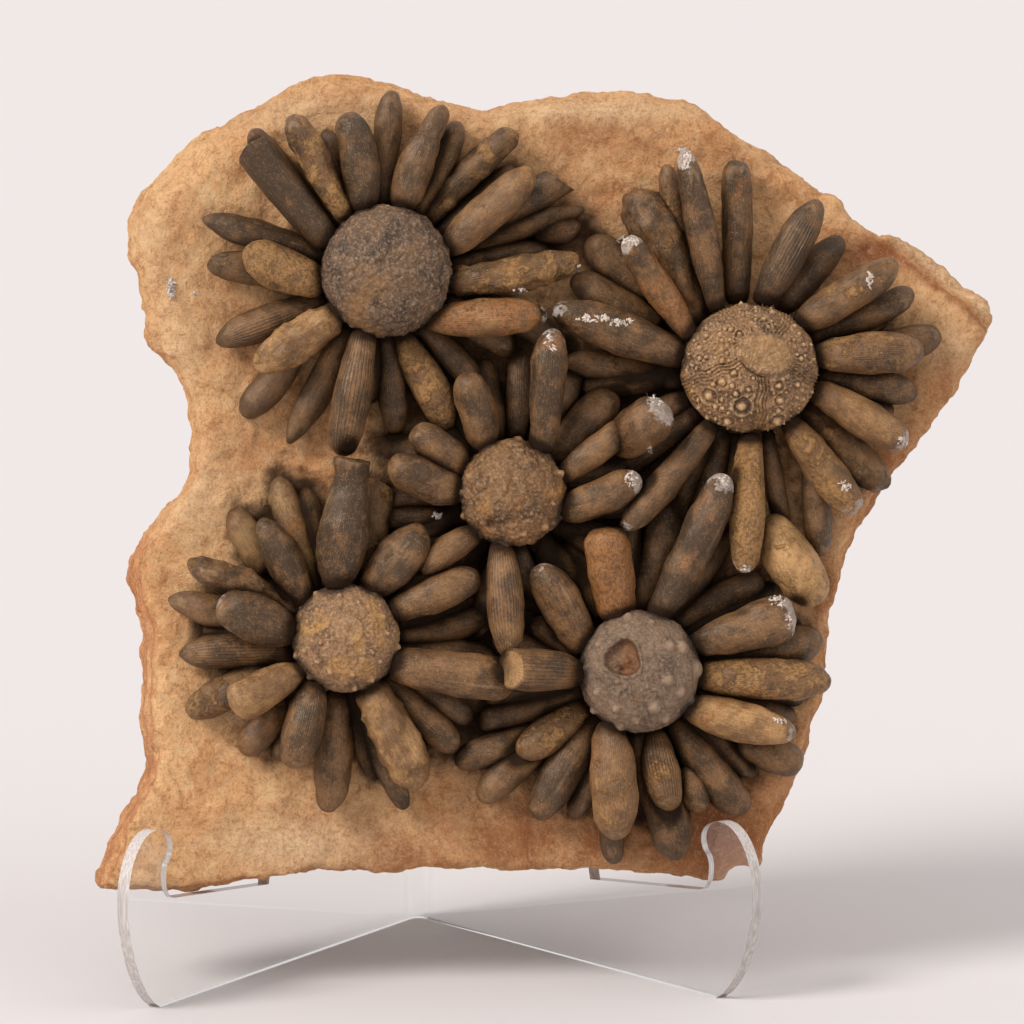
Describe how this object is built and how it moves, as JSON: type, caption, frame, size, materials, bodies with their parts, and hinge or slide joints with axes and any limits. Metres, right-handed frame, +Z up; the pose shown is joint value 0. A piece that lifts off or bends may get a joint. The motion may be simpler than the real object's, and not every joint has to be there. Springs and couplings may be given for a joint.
{
  "type": "fossil sea urchin plate",
  "caption": "Irregular sandstone slab with club-spined fossil sea urchins in relief, standing leaned back on a bent clear acrylic easel.",
  "frame": {"origin": "foot of the easel's bend, in the middle of the sheet's lower edge, on the surface that the easel stands on", "axes": "+Z up, +X to the viewer's right, and -Y towards the viewer, so that the fossils face -Y"},
  "size_m": [0.2745, 0.1291, 0.2723],
  "materials": {
    "sandstone": "rough, granular, tan to rusty pink",
    "fossil_test": "dull, pitted, with beaded ornament",
    "fossil_spine": "low sheen, finely ribbed, mottled with ochre",
    "clear_acrylic": "polished, clear"
  },
  "bodies": {
    "root": {"sandstone_slab": "sandstone", "acrylic_easel": "clear_acrylic", "upper_left_test": "fossil_test", "upper_right_test": "fossil_test", "centre_test": "fossil_test", "lower_left_test": "fossil_test", "lower_right_test": "fossil_test", "upper_left_spine_01": "fossil_spine", "upper_left_spine_02": "fossil_spine", "upper_left_spine_03": "fossil_spine", "upper_left_spine_04": "fossil_spine", "upper_left_spine_05": "fossil_spine", "upper_left_spine_06": "fossil_spine", "upper_left_spine_07": "fossil_spine", "upper_left_spine_08": "fossil_spine", "upper_left_spine_09": "fossil_spine", "upper_left_spine_10": "fossil_spine", "upper_right_spine_01": "fossil_spine", "upper_right_spine_02": "fossil_spine", "upper_right_spine_03": "fossil_spine", "upper_right_spine_04": "fossil_spine", "upper_right_spine_05": "fossil_spine", "upper_right_spine_06": "fossil_spine", "upper_right_spine_07": "fossil_spine", "upper_right_spine_08": "fossil_spine", "upper_right_spine_09": "fossil_spine", "upper_right_spine_10": "fossil_spine", "upper_right_spine_11": "fossil_spine", "centre_spine_01": "fossil_spine", "centre_spine_02": "fossil_spine", "centre_spine_03": "fossil_spine", "centre_spine_04": "fossil_spine", "centre_spine_05": "fossil_spine", "centre_spine_06": "fossil_spine", "centre_spine_07": "fossil_spine", "centre_spine_08": "fossil_spine", "centre_spine_09": "fossil_spine", "lower_left_spine_01": "fossil_spine", "lower_left_spine_02": "fossil_spine", "lower_left_spine_03": "fossil_spine", "lower_left_spine_04": "fossil_spine", "lower_left_spine_05": "fossil_spine", "lower_left_spine_06": "fossil_spine", "lower_left_spine_07": "fossil_spine", "lower_left_spine_08": "fossil_spine", "lower_left_spine_09": "fossil_spine", "lower_left_spine_10": "fossil_spine", "lower_right_spine_01": "fossil_spine", "lower_right_spine_02": "fossil_spine", "lower_right_spine_03": "fossil_spine", "lower_right_spine_04": "fossil_spine", "lower_right_spine_05": "fossil_spine", "lower_right_spine_06": "fossil_spine", "lower_right_spine_07": "fossil_spine", "lower_right_spine_08": "fossil_spine", "upper_left_low_spines": "fossil_spine", "upper_right_low_spines": "fossil_spine", "centre_low_spines": "fossil_spine", "lower_left_low_spines": "fossil_spine", "lower_right_low_spines": "fossil_spine"}
  },
  "joints": []
}
